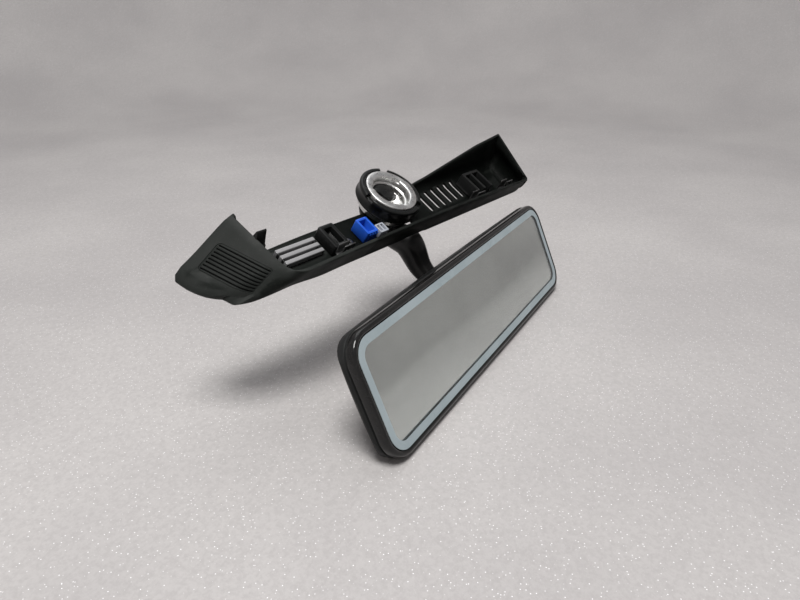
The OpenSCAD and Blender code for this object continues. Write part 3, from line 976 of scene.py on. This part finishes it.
def add_grille():
    """Fins with dark grooves between them, in a rounded panel."""
    x0, y0, x1, y1 = GRILLE
    gap, margin, pitch, width = 0.12, 1.15, 1.95, 0.84
    outline = box_outline(x0 + gap, y0 + gap, x1 - gap, y1 - gap, 2.1)
    panel = prism("end_grille", outline, -1.9, -0.25, GRILLE_FACE)
    for i in range(8):
        y = y0 + margin + i * pitch
        groove = box_outline(x0 + 1.0, y, x1 - 1.0, y + width, 0.415)
        carve(panel, prism("groove", groove, -1.2, 2, GRILLE_FACE))
    bend_to_nose(panel)
    rounded(panel, 0.16)
    dress(shaded(panel, 40), "charcoal_plastic", "mount", "grille_insert")


add_grille()


# ---- foot, arm and ball
def add_foot():
    """The cast foot: a turned body with a chamfered mouth, a well, and the clamp flange."""
    body = [(0.0, -8.2), (10.8, -8.2), (10.8, -5.0), (11.4, -5.0), (11.9, -4.7), (12.0, -4.3),
            (12.0, -0.7), (12.35, -0.2), (12.9, 0.0), (15.9, 0.0), (16.5, -0.2), (16.8, -0.8),
            (16.85, -1.4), (16.95, -13.9), (16.7, -14.6), (16.0, -15.0), (0.0, -15.0)]
    foot = lathe("foot_casting", body, FOOT, 96, False)
    carve(foot, prism("keyway", box_outline(-18, -4.5, -2, 4.5, 1.5), -7.6, -5.4, FOOT))
    for a in (30, 150, 270):
        spot = Matrix.Rotation(math.radians(a), 4, "Z")
        carve(foot, prism("notch", box_outline(10.5, -2.6, 13.4, 2.6, 0.8), -2.2, 1, FOOT @ spot))
    rounded(foot, 0.25)
    dress(shaded(foot, 38), "cast_metal", "mount")
    flange = prism("foot_flange", box_outline(12, -6.4, 28, 6.4, 3.4, 8), -14.95, -10.4, FOOT)
    carve(flange, prism("hole", [(x + 23, y) for x, y in disc(2.5, 32)], -20, 0, FOOT))
    rounded(flange, 0.5, 3, 40)
    dress(shaded(flange, 38), "cast_metal", "mount")
    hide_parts("foot_base")
    catch = [(-3, 0), (1, -3), (4, -0.5), (7, 1.2), (6, 3.2), (8.6, 4.6), (7.2, 7), (5, 9),
             (1, 10.3), (-4, 9.7), (-6.6, 7.4), (-3.4, 4.2)]
    plate = prism("lock_plate", catch, -8.15, -5.1, FOOT)
    rounded(plate, 0.3, 2, 30)
    dress(shaded(plate, 40), "black_plastic", "mount")


add_foot()


def add_foot_ring():
    """Black bayonet ring: rounded shoulders, three notches and a ribbed skirt."""
    inner = 17.1
    profile = [(inner, -9.4), (inner, -0.9), (inner + 0.5, -0.45), (19.0, -0.42), (19.7, -0.7),
               (20.1, -1.3), (20.2, -2.2), (20.05, -3.4), (19.85, -3.7), (19.85, -7.9),
               (20.1, -8.3), (20.15, -9.2), (19.8, -9.55), (inner + 0.5, -9.6)]
    ring = lathe("foot_ring_skirt", profile, FOOT, 120)
    for a in (60, 180, 300):
        spot = Matrix.Rotation(math.radians(a), 4, "Z")
        carve(ring, prism("notch", box_outline(16, -3, 22, 3, 1.0), -3, 2, FOOT @ spot))
    carve(ring, prism("notch", [(x + 23, y) for x, y in disc(5, 32)], -12, -4, FOOT))
    rounded(ring, 0.25)
    dress(shaded(ring, 36), "black_plastic", "mount", "foot_ring")


add_foot_ring()


def add_neck():
    """Neck collar with a rolled bead."""
    z = -23.05
    profile = [(9.3, z), (12.0, z), (12.4, z + 0.5), (12.5, z + 2.4), (12.9, z + 2.7),
               (13.7, z + 3.1), (14.0, z + 4.2), (13.7, z + 5.2), (12.9, z + 5.6), (12.5, z + 6.0),
               (12.4, z + 7.5), (12.0, z + 7.95), (9.3, z + 7.95)]
    dress(shaded(lathe("neck_bead", profile, FOOT), 40), "black_plastic", "mount", "neck_collar")


add_neck()


def smooth_path(points, steps=8):
    """A smooth curve of (y, z, radius) through the given points."""
    out = []
    for i in range(len(points) - 1):
        p0, p1 = points[max(0, i - 1)], points[i]
        p2, p3 = points[i + 1], points[min(len(points) - 1, i + 2)]
        for k in range(steps):
            t = k / steps
            out.append(tuple(0.5 * (2 * b + (c - a) * t + (2 * a - 5 * b + 4 * c - d) * t * t
                                    + (3 * b - a - 3 * c + d) * t ** 3)
                             for a, b, c, d in zip(p0, p1, p2, p3)))
    out.append(points[-1])
    return out


ARM = ((10.98, -19.5, 8.5), (-2.0, -28.0, 8.7), (-12.0, -32.5, 8.9), (-20.0, -45.5, 7.1),
       (-27.5, -52.6, 5.6), (-31.6, -56.6, 4.4))


def add_arm():
    """The painted arm: one bent, tapering casting with a slightly squared section."""
    path = smooth_path(ARM)
    squareness = 0.88
    rings = []
    for i, (y, z, r) in enumerate(path):
        before, after = path[max(0, i - 1)], path[min(len(path) - 1, i + 1)]
        along = Vector((0, after[0] - before[0], after[1] - before[1])).normalized()
        side = Vector((1, 0, 0))
        up = along.cross(side)
        ring = []
        for k in range(40):
            a = 2 * math.pi * k / 40
            c, s = math.cos(a), math.sin(a)
            wide = math.copysign(abs(c) ** squareness, c) * r
            deep = math.copysign(abs(s) ** squareness, s) * r * 0.97
            ring.append(tuple(Vector((0, y, z)) + side * wide + up * deep))
        rings.append(ring)
    arm = build("arm_casting", *loft(rings, True, (True, True)), Matrix.Scale(MM, 4))
    dress(shaded(arm, 60), "black_paint", "mount", "stalk_arm")


add_arm()


# ---- pieces inside the cover
def add_louvres():
    """Satin bars with rounded tops over a dark frame, in the floor's window."""
    x0, y0, x1, y1 = LOUVRES
    for k, mid in enumerate((y0 + 1.9, (y0 + y1) / 2, y1 - 1.9)):
        bar = prism(f"louvre_bar_{k}", box_outline(x0 + 0.4, mid - 1.3, x1 - 0.4, mid + 1.3, 0.5),
                    -20.2, -16.2, COVER)
        rounded(bar, 0.55, 4, 40)
        dress(shaded(bar, 40), "louvre_satin", "mount")
        if k == 0:
            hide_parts("louvre_insert")
    pan = prism("louvre_pan", box_outline(x0 + 0.3, y0 + 0.3, x1 - 0.3, y1 - 0.3, 1.0), FLOOR_Z,
                -20.3, COVER)
    dress(shaded(pan, 40), "black_plastic", "mount")
    for k, x in enumerate((x0 + 1.4, x1 - 1.4)):
        tie = prism(f"louvre_tie_{k}", box_outline(x - 0.9, y0 + 0.4, x + 0.9, y1 - 0.4, 0.3),
                    -18.3, -16.6, COVER)
        dress(shaded(rounded(tie, 0.25), 40), "black_plastic", "mount")


def add_tower():
    """The barbed clip tower at the left end."""
    side = [(0, -18.5), (7, -18.5), (7, -9.8), (6.2, -9.2), (6.2, -4.6), (5.6, -1.4), (4.2, 3.4),
            (3.4, 3.1), (2.4, -0.9), (1.4, -4.4), (0.6, -5.0), (0.0, -9.0)]
    rings = []
    for x in (-107.4, -101.4):
        rings.append([(x, 23.0 + u, z + 2.4) for u, z in side])
    tower = build("clip_tower", *loft(rings, True, (True, True)), COVER)
    rounded(tower, 0.3)
    dress(shaded(tower, 40), "black_plastic", "mount", "left_clip_tower")
    foot = prism("clip_tower_base", box_outline(-107.4, 14.7, -99.4, 29.4, 0.8), -18.5, -8.6, COVER)
    carve(foot, prism("pocket", box_outline(-105.6, 16.2, -101.4, 21.5, 0.5), -16.5, 0, COVER))
    rounded(foot, 0.35)
    dress(shaded(foot, 40), "black_plastic", "mount")


# How high the pieces on the cover's floor begin.
ON_FLOOR = -18.6


def add_block(name, outline, high, slot, stands_for, pockets, edge):
    """A block on the cover's floor with pockets in its top."""
    block = prism(name, box_outline(*outline), ON_FLOOR, high, COVER)
    for pocket, bottom in pockets:
        carve(block, prism("pocket", box_outline(*pocket), bottom, high + 5, COVER))
    rounded(block, edge)
    dress(shaded(block, 40), slot, "mount", stands_for)


def add_inside():
    """The blocks, plugs and brackets inside the cover."""
    add_louvres()
    add_tower()
    add_block("sensor_block", (-57.5, 13.0, -46.5, 29.5, 1.2), -11.6, "black_plastic",
              "sensor_bracket", [((-55, 15.5, -49, 27, 0.8), -15.6)], 0.4)
    add_block("blue_plug", (-32, 13, -23, 25, 1.0), -10.6, "blue_plastic", "blue_connector",
              [((-30.4, 14.8, -24.6, 23.2, 0.5), -16.0)], 0.35)
    for k in range(4):
        rib = prism(f"blue_rib_{k}", box_outline(-30.6 + 2.1 * k, 12.4, -29.7 + 2.1 * k, 13.05),
                    -18.2, -11.4, COVER)
        dress(shaded(rounded(rib, 0.12), 40), "blue_plastic", "mount")
    add_block("grey_plug", (-19.6, 12.4, -12.6, 19.0, 0.7), -13.2, "grey_plastic",
              "grey_connector", [((-18.6, 13.6, -16.8, 17.9, 0.3), -16.2),
                                 ((-15.6, 13.6, -13.8, 17.9, 0.3), -16.2)], 0.25)
    bracket = prism("clip_bracket", box_outline(81.5, 12.6, 100.5, 29.6, 0.8), ON_FLOOR, -9.2,
                    COVER)
    for x, width in ((83.5, 6), (91.5, 7)):
        carve(bracket, prism("bay", box_outline(x, 11, x + width, 27.4, 0.5), -16.6, 0, COVER))
    rounded(bracket, 0.3)
    dress(shaded(bracket, 40), "black_plastic", "mount", "right_clip_bracket")


add_inside()


def add_clips():
    """Folded spring clips along the near wall."""
    section = [(0.0, 0.0), (0.0, -8.4), (0.35, -8.85), (0.8, -9.0), (3.2, -9.0), (3.65, -8.85),
               (4.0, -8.4), (4.0, -3.4), (4.5, -2.4), (4.1, -2.2), (3.3, -3.2), (3.3, -8.1),
               (3.0, -8.3), (1.0, -8.3), (0.7, -8.1), (0.7, 0.0)]
    first = None
    for k, x in enumerate((-64, 64, 100)):
        rings = [[(x + d, 4.8 + v, z) for v, z in section] for d in (0.0, 8.0)]
        clip = build(f"spring_clip_{k}", *loft(rings, True, (True, True)), COVER)
        carve(clip, prism("hole", box_outline(x + 2.4, 4.0, x + 5.6, 6.2, 0.4), -6.4, -2.2, COVER))
        rounded(clip, 0.12)
        dress(shaded(clip, 40), "clip_steel", "mount")
        first = first or clip
    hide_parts("metal_clips")


add_clips()


def add_screw(name, place, radius, height, slot, recess, cross=False):
    """A pan head with a rounded rim and a cross or hex recess."""
    h, r = height, radius
    profile = [(0.0, 0.0), (r * 0.96, 0.0), (r, 0.12 * h), (r, 0.55 * h), (r * 0.93, 0.8 * h),
               (r * 0.74, 0.96 * h), (r * 0.5, h), (0.0, h)]
    screw = lathe(name, profile, place, 48, False)
    if cross:
        for turn in (0, 90):
            spin = Matrix.Rotation(math.radians(turn + 20), 4, "Z")
            carve(screw, prism("slot", box_outline(-recess, -0.32, recess, 0.32, 0.1), h * 0.45,
                               h + 2, place @ spin))
    else:
        hexagon = [(recess * math.cos(math.radians(60 * k)), recess * math.sin(
            math.radians(60 * k))) for k in range(6)]
        carve(screw, prism("hex", hexagon, h * 0.4, h + 2, place))
    rounded(screw, 0.07)
    return dress(shaded(screw, 36), slot, "mount")


def add_screws():
    """The cover's screws, and the clamp screw with its washer and thread."""
    made = None
    for k, x in enumerate((-42, 104.5)):
        place = COVER @ Matrix.Translation((x, 16.5, ON_FLOOR))
        screw = add_screw(f"cover_screw_{k}", place, 3.0, 2.4, "dark_steel", 1.7, True)
        made = made or screw
    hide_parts("cover_screws")
    clamp = add_screw("clamp_screw_head", FOOT @ Matrix.Translation((23, 0, -10)), 3.9, 3.4,
                      "plated_screw", 2.0)
    washer = lathe("clamp_washer", [(2.3, -10.35), (4.9, -10.35), (5.0, -10.2), (4.9, -9.95),
                                    (2.3, -9.95)], FOOT @ Matrix.Translation((23, 0, 0)), 48)
    dress(shaded(washer, 36), "plated_screw", "mount")
    thread = []
    turns, steps, length = 5, 28, 5.0
    for i in range(turns * steps + 1):
        a = 2 * math.pi * i / steps
        z = -15.4 + length * i / (turns * steps)
        thread.append([(23 + d * math.cos(a), d * math.sin(a), z + dz)
                       for d, dz in ((1.7, -0.45), (2.2, 0.0), (1.7, 0.45), (0.6, 0.0))])
    screw = build("clamp_thread", *loft(thread, True, (True, True)), FOOT)
    dress(shaded(screw, 50), "plated_screw", "mount")
    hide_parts("clamp_screw")


add_screws()


def add_spring():
    """The leaf spring in the socket's well: a bowed blade with turned-up lips."""
    rings = []
    for x, lift in ((-10.1, 2.6), (-9.9, 1.2), (-9.3, 0.35), (-7.5, 0.05), (-4.0, 0.0),
                    (0.0, 0.35), (4.0, 0.0), (7.5, 0.05), (9.3, 0.35), (9.9, 1.2), (10.1, 2.6)):
        z = -8.15 + lift
        half = 3.4 if abs(x) < 8 else 2.9
        rings.append([(x, -half, z), (x, half, z), (x, half, z + 0.55), (x, -half, z + 0.55)])
    blade = build("spring_blade", *loft(rings, True, (True, True)), FOOT)
    rounded(blade, 0.1)
    dress(shaded(blade, 44), "spring_steel", "mount", "leaf_spring")
    made = None
    for k, x in enumerate((-5, 5)):
        place = FOOT @ Matrix.Translation((x, 0, -7.55))
        screw = add_screw(f"spring_screw_{k}", place, 2.8, 1.6, "dark_steel", 1.4, True)
        made = made or screw
    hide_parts("spring_screws")


add_spring()
